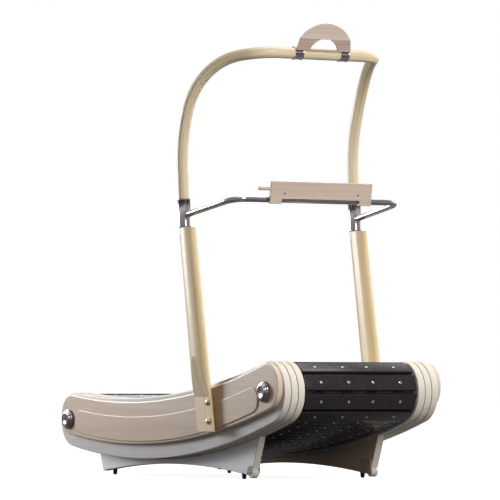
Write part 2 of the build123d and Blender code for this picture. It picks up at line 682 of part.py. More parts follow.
def holder_clamp(y):
    """Springy C clamp round the cross bar, open at the back, with turned-out lips."""
    ring = Rot(90, 0, 0) * (Cylinder(CLAMP_R, CLAMP_W) - Cylinder(TUBE_R + RUN_FIT, CLAMP_W))
    ring -= Pos(-CLAMP_R, 0, -CLAMP_OPEN_DROP) * Box(CLAMP_R, CLAMP_W, CLAMP_OPENING)
    return Pos(ARCH_CORNER[0], y, ARCH_CORNER[2]) * ring


def holder_parts():
    """The device holder and its two clamps on the cross bar."""
    clamps = [holder_clamp(-CLAMP_Y), holder_clamp(CLAMP_Y)]
    plate = holder()
    room = Pos(ARCH_CORNER[0], 0, ARCH_CORNER[2]) * Rot(90, 0, 0) * Cylinder(CLAMP_R + FIT, 600)
    save("device_holder", plate - room)
    save("holder_clamps", *clamps)


def post_bolt(x, z):
    """Dome-headed bolt from the post's flat through the side frame."""
    shank = rod(x, z, BOLT_R, INNER_FACE, POST_FLAT_Y + FIT)
    head = rod(0, 0, BOLT_HEAD_R, 0, BOLT_HEAD_T)
    head = fillet(head.faces().sort_by(Axis.Y)[-1].edges(), BOLT_DOME)
    return shank + Pos(x, POST_FLAT_Y + FIT, z) * head


def uprights():
    """Posts, sleeves, bolts, arch and handlebar."""
    save_pair("post", post())
    save_pair("post_sleeve", sleeve())
    save("post_bolts", *both_sides([post_bolt(x, z) for x, z in BOLT_SPOTS]))
    save("top_arch", arch())
    save("handlebar", handlebar())


def feet_and_wheels():
    """Rubber feet, dowels and transport wheels."""
    save("rubber_feet", *both_sides([rubber_foot(x) for x in (FOOT_X_REAR, FOOT_X_FRONT)]))
    save("foot_dowels", *both_sides(dowels()))
    save_pair("transport_wheel", transport_wheel())


os.makedirs("parts", exist_ok=True)
side_boards()
side_cover()
cover_panel()
axles_and_caps()
drums()
rollers()
carrier_belts()
running_surface()
spreaders()
foot_panels()
feet_and_wheels()
uprights()
console()
holder_parts()
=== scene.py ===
"""Looks for the curved manual treadmill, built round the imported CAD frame.  Metres throughout."""
import json
from math import atan2, cos, pi, radians, sin, sqrt, tan

import bmesh
import bpy
from mathutils import Matrix, Vector
from mathutils.geometry import tessellate_polygon


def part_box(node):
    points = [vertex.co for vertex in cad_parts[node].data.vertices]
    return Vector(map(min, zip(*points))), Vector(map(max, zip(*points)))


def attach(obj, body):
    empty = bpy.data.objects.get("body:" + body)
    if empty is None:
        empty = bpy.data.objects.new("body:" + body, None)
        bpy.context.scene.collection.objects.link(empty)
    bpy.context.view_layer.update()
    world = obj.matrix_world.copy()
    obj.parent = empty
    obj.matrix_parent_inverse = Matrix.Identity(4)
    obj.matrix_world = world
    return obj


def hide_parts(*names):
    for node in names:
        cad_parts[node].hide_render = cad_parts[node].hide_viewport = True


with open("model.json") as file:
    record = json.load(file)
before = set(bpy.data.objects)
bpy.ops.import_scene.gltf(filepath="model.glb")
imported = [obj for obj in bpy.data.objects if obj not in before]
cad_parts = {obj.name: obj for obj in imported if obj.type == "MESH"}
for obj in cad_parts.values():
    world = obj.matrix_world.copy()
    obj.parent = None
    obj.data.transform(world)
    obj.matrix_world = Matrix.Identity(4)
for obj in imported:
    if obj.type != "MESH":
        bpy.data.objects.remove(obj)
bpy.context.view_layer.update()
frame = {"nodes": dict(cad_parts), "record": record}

NODES = frame["nodes"]
BODIES = frame["record"]["behaviour"]["bodies"]
BODY_OF = {node: body for body, members in BODIES.items() for node in members}
SIDES = (("left", 1), ("right", -1))
X_AXIS, Y_AXIS, Z_AXIS = Vector((1, 0, 0)), Vector((0, 1, 0)), Vector((0, 0, 1))
FULL_TURN = 2 * pi

# Camera: low, far away, long lens, looking back at the machine's front right corner.
CAMERA_AT = Vector((13.475, -7.748, 0.316))
CAMERA_HEADING = radians(60.0)
CAMERA_UP = radians(1.992)
LENS_MM = 295.3

# Where the bright end of the studio lies, and the skies' greys from straight down to straight up.
FAR_OFF = (-0.866, 0.5, 0.0)
SOFT_SKY = ((0.0, 0.15), (0.5, 0.7), (0.75, 1.0))
NEAR_SKY = ((0.0, 0.04), (0.47, 0.10), (0.495, 0.90), (0.55, 0.80),
            (0.585, 0.42), (0.65, 0.38), (1.0, 0.22))
FAR_SKY = ((0.0, 0.02), (0.49, 0.03), (0.525, 0.12), (0.565, 0.90),
           (0.72, 0.75), (0.85, 0.20), (1.0, 0.12))
WHITE_SKY = ((0.0, 1.0), (1.0, 1.0))
FLOOR_REACH = 60.0

# Side boards: where the first one starts and the last one ends, their spacing and their bevel.
INNER_FACE, OUTER_FACE, BOARD_PITCH = 0.2398, 0.3248, 0.0284
BOARD_BEVEL = 0.0016
PLY_PITCH = 0.0033

# Rounded rims of the flat pieces, and the narrow flat strip kept inside each rim.
BOARD_ROUND = 0.0042
COVER_ROUND = (0.005, 0.004)
PANEL_ROUND = 0.0022
FOOT_ROUND = 0.0022
PLATE_ROUND = 0.002
RIM_STRIP = 0.0006

# Longest edge along a rim and longest run of a tube before they are divided.
RIM_EDGE = 0.02
TUBE_RUN = 0.03

# Height of the fold across the device holder; below it the holder's wood is painted darker as shade.
FOLD_Z = 1.6116

# Running surface.
SLAT_ROUND = 0.0026
SLAT_END_ROUND = 0.0016
SCREW_LINES = (-0.167, -0.051, 0.051, 0.167)
SCREW_R, SCREW_RISE = 0.0056, 0.0013
SCREW_CLEAR = 0.012
DOT_R, DOT_RISE = 0.0029, 0.0006
DOT_PITCH = 0.0195
DOT_FIRST, DOT_COUNT = 0.0315, 10
DOT_ROW = 0.0155

# Bent tubes, as the CAD bends them.
TUBE_R = 0.0215
SLEEVE_LEAN = radians(4.5)
ARCH_KNEE = 0.273
ARCH_SHOULDER = Vector((0.297, 0.363, 1.537))
ARCH_CORNER_Y = 0.239
ARCH_BENDS = (0.445, 0.307, 0.107)
HANDLE_R = 0.011
HANDLE_ROOT_Z = 0.972
HANDLE_CORNER_Y = 0.354
HANDLE_BEND = 0.062
HANDLE_SET_IN = 0.020

# Bolt heads, feet and the holder's clamps.
BOLT_HEAD = 0.009
STUD_H, STUD_NUT_H = 0.0208, 0.004
CLAMP_R = 0.025
CLAMP_SWEEP = radians(256)


# ---- reading the frame ----

def merged(node):
    """A node's mesh with its split corners joined."""
    work = bmesh.new()
    work.from_mesh(NODES[node].data)
    bmesh.ops.remove_doubles(work, verts=work.verts, dist=2e-5)
    return work


def islands(node):
    """Corner points of each separate solid in a node."""
    work = merged(node)
    left = set(work.verts)
    found = []
    while left:
        edge = [left.pop()]
        island = []
        while edge:
            vert = edge.pop()
            island.append(vert.co.copy())
            for link in vert.link_edges:
                other = link.other_vert(vert)
                if other in left:
                    left.remove(other)
                    edge.append(other)
        found.append(island)
    work.free()
    return found


def span(points, axis):
    """Lowest and highest reach of points along an axis."""
    reach = [point.dot(axis) for point in points]
    return min(reach), max(reach)


def middle(points):
    """Middle of the box round some points."""
    return Vector([sum(span(points, axis)) / 2 for axis in (X_AXIS, Y_AXIS, Z_AXIS)])


def centre(node):
    """Middle of a node's box."""
    low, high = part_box(node)
    return (low + high) / 2


def flat_loops(node, direction):
    """Rims of the flat face that lies furthest along a direction, longest first."""
    work = merged(node)
    far = max(vert.co.dot(direction) for vert in work.verts)
    flat = {face for face in work.faces if face.normal.dot(direction) > 0.999
            and abs(face.verts[0].co.dot(direction) - far) < 1e-4}
    follow = {}
    for face in flat:
        for loop in face.loops:
            if not any(other in flat for other in loop.edge.link_faces if other is not face):
                follow[loop.vert] = loop.link_loop_next.vert
    loops = []
    while follow:
        start, vert = follow.popitem()
        chain = [start]
        while vert is not start:
            chain.append(vert)
            vert = follow.pop(vert)
        loops.append([item.co.copy() for item in chain])
    work.free()
    return sorted(loops, key=loop_length, reverse=True)


def loop_length(loop):
    """Length round a closed loop."""
    return sum((a - b).length for a, b in zip(loop, loop[1:] + loop[:1]))


def plane_of(direction, across, origin=Vector((0, 0, 0))):
    """Matrix whose third column is a direction and whose first lies along another."""
    up = direction.normalized()
    first = (across - up * across.dot(up)).normalized()
    second = up.cross(first)
    columns = Matrix((first, second, up)).transposed().to_4x4()
    return Matrix.Translation(origin) @ columns


# ---- building meshes ----

class Build:
    """Points, faces and grain coordinates of a piece in the making."""

    def __init__(self):
        self.points = []
        self.faces = []
        self.grain = []

    def add(self, points):
        first = len(self.points)
        self.points.extend(Vector(point) for point in points)
        return list(range(first, len(self.points)))

    def face(self, corners, grain=None):
        self.faces.append(tuple(corners))
        self.grain.append(grain or [(0.0, 0.0)] * len(corners))

    def strip(self, one, two, along, low, high, closed=True):
        """Quads between two rings of one length; along holds the lengths run to each corner."""
        count = len(one)
        for k in range(count if closed else count - 1):
            j = (k + 1) % count
            grain = [(along[k], low), (along[k + 1], low), (along[k + 1], high), (along[k], high)]
            self.face((one[k], one[j], two[j], two[k]), grain)

    def fan(self, pole, ring, along, low, high):
        """Triangles from a pole to a ring."""
        count = len(ring)
        for k in range(count):
            j = (k + 1) % count
            grain = [(along[k], low), (along[k], high), (along[k + 1], high)]
            self.face((pole, ring[k], ring[j]), grain)

    def cap(self, ring):
        """Flat cover inside a ring."""
        for triangle in tessellate_polygon([[self.points[index] for index in ring]]):
            self.face([ring[corner] for corner in triangle])


def piece(name, build, material, body, stands_for=(), sharp=38.0):
    """An object from a build, with outward faces, smooth shading and its place on a body."""
    mesh = bpy.data.meshes.new(name)
    mesh.from_pydata([tuple(point) for point in build.points], [], build.faces)
    layer = mesh.attributes.new("grain", "FLOAT_VECTOR", "CORNER")
    spots = [(along, across, 0.0) for corners in build.grain for along, across in corners]
    layer.data.foreach_set("vector", [number for spot in spots for number in spot])
    work = bmesh.new()
    work.from_mesh(mesh)
    bmesh.ops.recalc_face_normals(work, faces=work.faces)
    work.to_mesh(mesh)
    work.free()
    mesh.shade_smooth()
    mesh.set_sharp_from_angle(angle=radians(sharp))
    return settle(name, mesh, material, body, stands_for)


def settle(name, mesh, material, body, stands_for):
    """Link a mesh as an object that rides on a body and may stand for CAD nodes."""
    mesh.materials.clear()
    mesh.materials.append(material)
    made = bpy.data.objects.new(name, mesh)
    bpy.context.scene.collection.objects.link(made)
    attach(made, body)
    if stands_for:
        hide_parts(*stands_for)
    return made


def softened(node, name, width, material):
    """A node's own shape with its sharp edges rounded."""
    work = merged(node)
    bmesh.ops.dissolve_limit(work, angle_limit=radians(0.4), verts=work.verts, edges=work.edges)
    mesh = bpy.data.meshes.new(name)
    work.to_mesh(mesh)
    work.free()
    if "custom_normal" in mesh.attributes:
        mesh.attributes.remove(mesh.attributes["custom_normal"])
    mesh.shade_smooth()
    rough = bpy.data.objects.new(name + "_rough", mesh)
    bpy.context.scene.collection.objects.link(rough)
    bevel = rough.modifiers.new("round", "BEVEL")
    bevel.width = width
    bevel.segments = 3
    bevel.limit_method = "ANGLE"
    bevel.angle_limit = radians(35)
    bevel.miter_outer = "MITER_ARC"
    level = rough.modifiers.new("level", "WEIGHTED_NORMAL")
    level.keep_sharp = True
    depsgraph = bpy.context.evaluated_depsgraph_get()
    final = bpy.data.meshes.new_from_object(rough.evaluated_get(depsgraph))
    bpy.data.objects.remove(rough)
    return settle(name, final, material, BODY_OF[node], (node,))


def quarter(inset, depth, steps=4):
    """Rounded rim from the flat face to the wall, as (inset, depth) pairs."""
    rim = [(inset + RIM_STRIP, 0.0)]
    for step in range(steps + 1):
        turn = pi / 2 * step / steps
        rim.append((inset * (1 - sin(turn)), depth * (1 - cos(turn))))
    return rim


def shoelace(loop):
    """Area inside a flat loop, positive if it runs anticlockwise."""
    return sum(a[0] * b[1] - b[0] * a[1] for a, b in zip(loop, loop[1:] + loop[:1])) / 2


def eased(loop):
    """A loop with its long edges divided."""
    finer = []
    for a, b in zip(loop, loop[1:] + loop[:1]):
        parts = max(1, int((b - a).length / RIM_EDGE))
        finer.extend(a.lerp(b, part / parts) for part in range(parts))
    return finer


def outward(loop):
    """Mitred outward direction at each point of a loop that runs anticlockwise."""
    normals = []
    count = len(loop)
    for k in range(count):
        before = (loop[k] - loop[k - 1]).normalized()
        after = (loop[(k + 1) % count] - loop[k]).normalized()
        one = Vector((before.y, -before.x))
        two = Vector((after.y, -after.x))
        both = one + two
        normals.append(both / max(both.dot(one), 0.5))
    return normals


def running(loop):
    """Length run to each point of a closed loop, and back to the first."""
    lengths = [0.0]
    for a, b in zip(loop, loop[1:] + loop[:1]):
        lengths.append(lengths[-1] + (b - a).length)
    return lengths


def slab(build, place, outline, near, far, near_rim, far_rim):
    """Plate between two heights inside a closed outline, with rounded rims."""
    levels = [(inset, far - depth) for inset, depth in far_rim]
    levels += [(inset, near + depth) for inset, depth in reversed(near_rim)]
    across = [0.0]
    for (inset, height), (next_inset, next_height) in zip(levels, levels[1:]):
        across.append(across[-1] + sqrt((inset - next_inset) ** 2 + (height - next_height) ** 2))
    loop = eased([Vector((point[0], point[1])) for point in outline])
    if shoelace(loop) < 0:
        loop.reverse()
    normals = outward(loop)
    along = running(loop)
    rings = []
    for inset, height in levels:
        ring = [spot - normal * inset for spot, normal in zip(loop, normals)]
        rings.append(build.add(place @ Vector((x, y, height)) for x, y in ring))
    for k in range(len(levels) - 1):
        build.strip(rings[k], rings[k + 1], along, across[k], across[k + 1])
    build.cap(rings[0])
    build.cap(rings[-1])


def lathe(build, place, profile, steps, start=0.0, sweep=FULL_TURN):
    """Profile of (radius, height) points turned about the place's third axis."""
    whole = sweep == FULL_TURN
    turns = [start + sweep * k / steps for k in range(steps + (0 if whole else 1))]
    rings = []
    across = [0.0]
    for (r1, h1), (r2, h2) in zip(profile, profile[1:]):
        across.append(across[-1] + sqrt((r2 - r1) ** 2 + (h2 - h1) ** 2))
    for radius, height in profile:
        if radius < 1e-7:
            rings.append(build.add([place @ Vector((0, 0, height))]))
        else:
            spokes = [Vector((radius * cos(t), radius * sin(t), height)) for t in turns]
            rings.append(build.add(place @ spoke for spoke in spokes))
    widest = max(radius for radius, _ in profile)
    along = [widest * sweep * k / steps for k in range(steps + 1)]
    for k in range(len(rings) - 1):
        one, two = rings[k], rings[k + 1]
        if len(one) == 1:
            build.fan(one[0], two, along, across[k], across[k + 1])
        elif len(two) == 1:
            build.fan(two[0], one, along, across[k + 1], across[k])
        else:
            build.strip(one, two, along, across[k], across[k + 1], closed=whole)
    if not whole:
        for end in (0, -1):
            build.face([ring[end] for ring in rings])


def turned(name, place, profile, steps, look, node=None, body="frame", sharp=38.0):
    """A piece turned from one profile."""
    build = Build()
    lathe(build, place, profile, steps)
    piece(name, build, LOOKS[look], body, (node,) if node else (), sharp)


def bent(points, radii, step=0.006):
    """Points along straight runs joined by tangent arcs."""
    path = [points[0]]
    for before, corner, after, radius in zip(points, points[1:], points[2:], radii):
        back = (before - corner).normalized()
        on = (after - corner).normalized()
        half = back.angle(on) / 2
        reach = radius / tan(half)
        hub = corner + (back + on).normalized() * (radius / sin(half))
        first = corner + back * reach - hub
        last = corner + on * reach - hub
        turn = first.angle(last)
        parts = max(4, int(radius * turn / step))
        for part in range(parts + 1):
            share = part / parts
            early = first * (sin((1 - share) * turn) / sin(turn))
            late = last * (sin(share * turn) / sin(turn))
            path.append(hub + (early + late))
    path.append(points[-1])
    return path


def filled(path):
    """A path with its long runs divided."""
    finer = []
    for a, b in zip(path, path[1:]):
        parts = max(1, int((b - a).length / TUBE_RUN))
        finer.extend(a.lerp(b, part / parts) for part in range(parts))
    return finer + [path[-1]]


def tube(build, path, radius, steps, caps=True):
    """Round tube along a path, with grain coordinates along and around it."""
    side = None
    rings = []
    lengths = [0.0]
    for k, spot in enumerate(path):
        ahead = (path[min(k + 1, len(path) - 1)] - path[max(k - 1, 0)]).normalized()
        if side is None:
            side = ahead.orthogonal().normalized()
        side = (side - ahead * side.dot(ahead)).normalized()
        other = ahead.cross(side)
        turns = [FULL_TURN * j / steps for j in range(steps)]
        rings.append(build.add(spot + radius * (side * cos(t) + other * sin(t)) for t in turns))
        if k:
            lengths.append(lengths[-1] + (spot - path[k - 1]).length)
    for k in range(len(rings) - 1):
        here, there = lengths[k], lengths[k + 1]
        for j in range(steps):
            i = (j + 1) % steps
            one = FULL_TURN * radius * j / steps
            two = FULL_TURN * radius * (j + 1) / steps
            build.face((rings[k][j], rings[k][i], rings[k + 1][i], rings[k + 1][j]),
                       [(here, one), (here, two), (there, two), (there, one)])
    if caps:
        build.face(rings[0])
        build.face(rings[-1])


# ---- materials ----

def tint(code):
    """Linear colour from a familiar six-digit screen code."""
    parts = [int(code[k:k + 2], 16) / 255 for k in (0, 2, 4)]
    return tuple(v / 12.92 if v <= 0.04045 else ((v + 0.055) / 1.055) ** 2.4 for v in parts)


class Nodes:
    """Short ways to add and join the nodes of a material or a world."""

    def __init__(self, tree):
        self.tree = tree

    def put(self, socket, value):
        """Join or set a socket."""
        if isinstance(value, bpy.types.NodeSocket):
            self.tree.links.new(value, socket)
        elif isinstance(value, tuple) and len(value) == 3 and len(socket.default_value) == 4:
            socket.default_value = (*value, 1.0)
        else:
            socket.default_value = value

    def place(self, size=(1, 1, 1), turn=(0, 0, 0), grain=False):
        """Object (or stored grain) coordinates, turned and divided by a feature size in metres."""
        if grain:
            source = self.tree.nodes.new("ShaderNodeAttribute")
            source.attribute_name = "grain"
            vector = source.outputs["Vector"]
        else:
            vector = self.tree.nodes.new("ShaderNodeTexCoord").outputs["Object"]
        mapping = self.tree.nodes.new("ShaderNodeMapping")
        mapping.vector_type = "TEXTURE"
        mapping.inputs["Scale"].default_value = size
        mapping.inputs["Rotation"].default_value = turn
        self.tree.links.new(vector, mapping.inputs["Vector"])
        return mapping.outputs["Vector"]

    def noise(self, vector, detail, rough=0.55, distort=0.0):
        """Noise with features about one unit across."""
        made = self.tree.nodes.new("ShaderNodeTexNoise")
        self.put(made.inputs["Vector"], vector)
        self.put(made.inputs["Scale"], 1.0)
        self.put(made.inputs["Detail"], detail)
        self.put(made.inputs["Roughness"], rough)
        self.put(made.inputs["Distortion"], distort)
        return made.outputs["Fac"]

    def cells(self, vector):
        """Distance from the middle of each cell, the cells about one unit across."""
        made = self.tree.nodes.new("ShaderNodeTexVoronoi")
        self.put(made.inputs["Vector"], vector)
        self.put(made.inputs["Scale"], 1.0)
        return made.outputs["Distance"]

    def part(self, vector, letter):
        """One coordinate of a vector."""
        made = self.tree.nodes.new("ShaderNodeSeparateXYZ")
        self.put(made.inputs["Vector"], vector)
        return made.outputs[letter]

    def spread(self, value, low, high, new_low=0.0, new_high=1.0):
        """A value mapped from one range to another, clamped."""
        made = self.tree.nodes.new("ShaderNodeMapRange")
        self.put(made.inputs["Value"], value)
        self.put(made.inputs["From Min"], low)
        self.put(made.inputs["From Max"], high)
        self.put(made.inputs["To Min"], new_low)
        self.put(made.inputs["To Max"], new_high)
        return made.outputs["Result"]

    def math(self, kind, first, second=0.0):
        """A sum, product or other calculation on two values."""
        made = self.tree.nodes.new("ShaderNodeMath")
        made.operation = kind
        self.put(made.inputs[0], first)
        self.put(made.inputs[1], second)
        return made.outputs["Value"]

    def vector_math(self, kind, first, second=(0.0, 0.0, 0.0)):
        """A number worked out from two vectors."""
        made = self.tree.nodes.new("ShaderNodeVectorMath")
        made.operation = kind
        self.put(made.inputs[0], first)
        made.inputs[1].default_value = second
        return made.outputs["Value"]

    def ray(self, kind):
        """1 for the kind of ray that is named, 0 for others."""
        return self.tree.nodes.new("ShaderNodeLightPath").outputs[kind]

    def mix(self, share, first, second, blend="MIX"):
        """Two colours mixed by a share."""
        made = self.tree.nodes.new("ShaderNodeMix")
        made.data_type = "RGBA"
        made.blend_type = blend
        self.put(made.inputs[0], share)
        self.put(made.inputs[6], first)
        self.put(made.inputs[7], second)
        return made.outputs[2]

    def bump(self, height, distance, strength):
        """Surface direction bent by a height."""
        made = self.tree.nodes.new("ShaderNodeBump")
        self.put(made.inputs["Height"], height)
        self.put(made.inputs["Distance"], distance)
        self.put(made.inputs["Strength"], strength)
        return made.outputs["Normal"]

    def side_normal(self):
        """How far a face looks along Y, from -1 to 1."""
        return self.part(self.tree.nodes.new("ShaderNodeNewGeometry").outputs["True Normal"], "Y")

    def faces_sideways(self):
        """1 on faces that look along Y, 0 on rims and tops."""
        return self.spread(self.math("ABSOLUTE", self.side_normal()), 0.80, 0.92)


class Shade(Nodes):
    """A new material with one Principled shader."""

    def __init__(self, name):
        self.mat = bpy.data.materials.new(name)
        self.mat.use_nodes = True
        super().__init__(self.mat.node_tree)
        self.bsdf = self.tree.nodes["Principled BSDF"]

    def set(self, **inputs):
        """Join or set the shader's sockets, named with underscores for spaces."""
        for key, value in inputs.items():
            self.put(self.bsdf.inputs[key.replace("_", " ")], value)


def wood(name, light, dark, turn=(0, 0, 0), grain=False, coarse=0.018,
         rough=0.42, coat=0.12, rim=None, below=None):
    """Fine straight-grained wood under satin lacquer; its grain runs along the first coordinate. Given a
    below colour, the wood under the fold height is painted darker as shade.
    """
    made = Shade(name)
    rings = made.noise(made.place((0.9, coarse, coarse), turn, grain), 3.0, 0.5, 0.8)
    streaks = made.noise(made.place((0.14, 0.0022, 0.0022), turn, grain), 5.0, 0.6, 0.15)
    pores = made.noise(made.place((0.011, 0.00045, 0.00045), turn, grain), 2.0, 0.5)
    tone = made.mix(made.spread(rings, 0.32, 0.68), tint(dark), tint(light))
    tone = made.mix(made.spread(streaks, 0.35, 0.75, 0.0, 0.38), tone, tint(dark))
    tone = made.mix(made.spread(pores, 0.60, 0.78, 0.0, 0.30), tone, tint(dark), "MULTIPLY")
    if rim:
        edge = made.mix(made.spread(streaks, 0.35, 0.70), tint(rim), tint(light))
        tone = made.mix(made.faces_sideways(), edge, tone)
    # Painted shade: under the fold height the wood takes a darker brown, standing in for the shade on the
    # holder's downward-facing lower leg.
    if below:
        under = made.spread(made.part(made.place(), "Z"), FOLD_Z + 0.001, FOLD_Z - 0.001)
        fold_shade = made.mix(made.spread(streaks, 0.35, 0.70), tint(below), tint(dark))
        tone = made.mix(made.math("MULTIPLY", under, 0.8), tone, fold_shade)
    height = made.math("ADD", made.math("MULTIPLY", streaks, 0.5), pores)
    made.set(Base_Color=tone, Roughness=made.spread(streaks, 0.3, 0.8, rough - 0.06, rough + 0.12),
             Coat_Weight=coat, Coat_Roughness=0.28, Normal=made.bump(height, 0.00006, 0.5))
    return made.mat


def seam_shade(made):
    """1 where two boards of a side frame meet, fading out a little way up each rim; it marks where shade is
    painted into the grooves between boards.
    """
    reach = made.math("ABSOLUTE", made.part(made.place(), "Y"))
    boards = made.math("DIVIDE", made.math("SUBTRACT", reach, INNER_FACE), BOARD_PITCH)
    share = made.math("FRACT", boards)
    line = made.spread(made.math("ABSOLUTE", made.math("SUBTRACT", share, 0.5)), 0.40, 0.475)
    within = made.math("MULTIPLY", made.spread(reach, INNER_FACE + 0.009, INNER_FACE + 0.012),
                       made.spread(reach, OUTER_FACE - 0.009, OUTER_FACE - 0.012))
    return made.math("MULTIPLY", line, within)


def laminate(name, face, rim, glue, inside=None):
    """Laminated board: pale satin faces, and rims that show thin plies with end-grain flecks, painted dark
    as shade in the grooves where boards meet; given an inside colour, faces that look inwards are painted in
    it as shade.
    """
    made = Shade(name)
    sideways = made.faces_sideways()
    wide = made.noise(made.place((0.7, 0.02, 0.02)), 3.0, 0.5, 0.6)
    fine = made.noise(made.place((0.05, 0.0012, 0.0012)), 4.0, 0.6)
    cover = made.mix(made.spread(wide, 0.3, 0.7, 0.0, 0.55), tint(face[0]), tint(face[1]))
    cover = made.mix(made.spread(fine, 0.45, 0.8, 0.0, 0.25), cover, tint(face[1]), "MULTIPLY")
    wander = made.noise(made.place((0.08, 0.05, 0.08)), 2.0)
    level = made.math("ADD", made.part(made.place(), "Y"), made.math("MULTIPLY", wander, 0.0006))
    wave = made.math("SINE", made.math("MULTIPLY", level, FULL_TURN / PLY_PITCH))
    plies = made.spread(wave, 0.55, 0.98)
    flecks = made.noise(made.place((0.006, 0.0009, 0.0009), grain=True), 3.0, 0.6)
    ends = made.mix(made.spread(flecks, 0.40, 0.66), tint(rim[1]), tint(rim[0]))
    ends = made.mix(made.math("MULTIPLY", plies, 0.42), ends, tint(glue))
    # Painted shade: the rims darken to near black in the grooves where two boards meet.
    ends = made.mix(made.math("MULTIPLY", seam_shade(made), 0.85), ends, tint("2B2620"))
    # Painted shade: faces that look inwards, towards the middle of the machine, take the inside colour, a
    # brown standing in for the shade under the treadmill.
    if inside:
        inner = made.math("MULTIPLY", made.side_normal(), made.part(made.place(), "Y"))
        cover = made.mix(made.spread(inner, -0.02, -0.2), cover, tint(inside))
    tone = made.mix(sideways, ends, cover)
    rough = made.mix(sideways, (0.62, 0.62, 0.62), (0.40, 0.40, 0.40))
    height = made.math("ADD", made.math("MULTIPLY", plies, -0.6), flecks)
    made.set(Base_Color=tone, Roughness=rough, Coat_Weight=0.06, Coat_Roughness=0.35,
             Normal=made.bump(height, 0.0001, 0.6))
    return made.mat


def metal(name, colour, rough, spread=0.07, stretch=(0.02, 0.0006, 0.02)):
    """Polished or brushed metal with fine marks and smudges."""
    made = Shade(name)
    marks = made.noise(made.place(stretch), 4.0, 0.65)
    smudge = made.noise(made.place((0.06, 0.06, 0.06)), 3.0, 0.5, 0.5)
    worn = made.math("ADD", made.math("MULTIPLY", marks, 0.5), made.math("MULTIPLY", smudge, 0.5))
    tone = made.mix(made.spread(smudge, 0.3, 0.75, 0.0, 0.35), tint(colour[0]), tint(colour[1]))
    made.set(Base_Color=tone, Metallic=1.0, Normal=made.bump(marks, 0.00002, 0.4),
             Roughness=made.spread(worn, 0.3, 0.7, rough, rough + spread))
    return made.mat


def rubber(name, colour, rough=0.6, pebble=0.0011, rise=0.00012, dust="3A3634"):
    """Moulded rubber: fine pebbled skin with a little dust in it."""
    made = Shade(name)
    skin = made.cells(made.place((pebble, pebble, pebble)))
    patch = made.noise(made.place((0.04, 0.04, 0.04)), 5.0, 0.6, 0.4)
    tone = made.mix(made.spread(patch, 0.42, 0.75, 0.0, 0.5), tint(colour), tint(dust))
    made.set(Base_Color=tone, Roughness=made.spread(patch, 0.3, 0.7, rough - 0.08, rough + 0.12),
             Specular_IOR_Level=0.4, Normal=made.bump(skin, rise, 0.5))
    return made.mat


def painted_slat():
    """Slat skin: dark satin coating with faint lengthwise brushing and scuffs where feet land."""
    made = Shade("slat_coating")
    brush = made.noise(made.place((0.0011, 0.09, 0.0011)), 4.0, 0.6)
    scuff = made.noise(made.place((0.035, 0.02, 0.035)), 6.0, 0.7, 0.6)
    tone = made.mix(made.spread(scuff, 0.52, 0.85, 0.0, 0.55), tint("201A1D"), tint("383234"))
    tone = made.mix(made.spread(brush, 0.4, 0.8, 0.0, 0.35), tone, tint("141012"))
    made.set(Base_Color=tone, Roughness=made.spread(scuff, 0.3, 0.75, 0.20, 0.34),
             Specular_IOR_Level=0.55, Normal=made.bump(brush, 0.00002, 0.3))
    return made.mat


LOOKS = {
    "laminated_board": laminate("board_laminate", ("BFBBBB", "A8A4A5"), ("ECE5DA", "CDC3B2"), "82755C"),
    # Foot panels: the board laminate with its faces painted much lighter, standing in for the light they
    # catch low down, and its inward faces painted brown as shade.
    "foot_board": laminate("foot_laminate_painted_light_and_shade", ("F0EEF2", "DEDBE0"), ("F3EEE4", "D8CFBE"), "8A7D63",
                           inside="B59A84"),
    "cover_wood": wood("cover_veneer", "BCA186", "AC8F71", coarse=0.030, rough=0.40, coat=0.25,
                       rim="D9CCBA"),
    "post_wood": wood("post_ash", "E6D2A8", "D0B688", turn=(0, radians(-100.4), 0), coarse=0.014),
    "bent_wood": wood("arch_ash", "DDCFB2", "C2AE8C", grain=True, coarse=0.012),
    "plate_wood": wood("plate_veneer", "C8B7A8", "B7A392", turn=(0, 0, radians(90)), coarse=0.016),
    # Holder veneer: its lower leg, under the fold, is painted darker brown as shade.
    "holder_wood": wood("holder_veneer", "C8B9AD", "B8A698", turn=(0, 0, radians(90)), coarse=0.016,
                        below="8A6C5E"),
    "chrome": metal("polished_chrome", ("BDB7BB", "A59FA4"), 0.12),
    "cap_metal": metal("turned_cap", ("A1989D", "898186"), 0.13),
    "cap_bolt": metal("satin_brass", ("D9C79C", "C4AE80"), 0.26, 0.12),
    "slat": painted_slat(),
    "belt_rubber": rubber("belt_rubber", "161415", 0.7),
    "foot_rubber": rubber("foot_rubber", "0E0D0D", 0.55),
    "wheel_tread": rubber("wheel_urethane", "D8D4CC", 0.5, 0.0009, 0.00005, "B7B1A6"),
    "screw": metal("screw_steel", ("E9E7E4", "CDCAC6"), 0.16, 0.10),
    "roller": metal("roller_tube", ("A9A9AC", "8B8B8F"), 0.32, 0.14, stretch=(0.0008, 0.03, 0.0008)),
    "drum": metal("drum_lacquer", ("5A5A5E", "3F3F43"), 0.38, 0.14, stretch=(0.0012, 0.05, 0.0012)),
    "bracket": rubber("bracket_enamel", "A58B76", 0.45, 0.0009, 0.00004, "8F7865"),
    "steel": metal("plain_steel", ("B4B4B6", "98989B"), 0.28, 0.16),
}


# ---- boards, covers, panels ----

def flat_piece(name, node, look, out, rim_side, near_rim, far_rim, across=X_AXIS, grow=0.0):
    """A flat CAD plate made again from its rim on one side, with rounded rims on both."""
    place = plane_of(out, across)
    flatten = place.inverted()
    near, far = span([flatten @ vert.co for vert in NODES[node].data.vertices], Z_AXIS)
    outline = grown([flatten @ point for point in flat_loops(node, rim_side)[0]], grow)
    build = Build()
    slab(build, place, outline, near, far, near_rim, far_rim)
    piece(name, build, LOOKS[look], BODY_OF[node], (node,))


def grown(loop, reach):
    """A loop moved outwards, run anticlockwise."""
    spots = [Vector((point[0], point[1])) for point in loop]
    if shoelace(spots) < 0:
        spots.reverse()
    return [spot + normal * reach for spot, normal in zip(spots, outward(spots))]


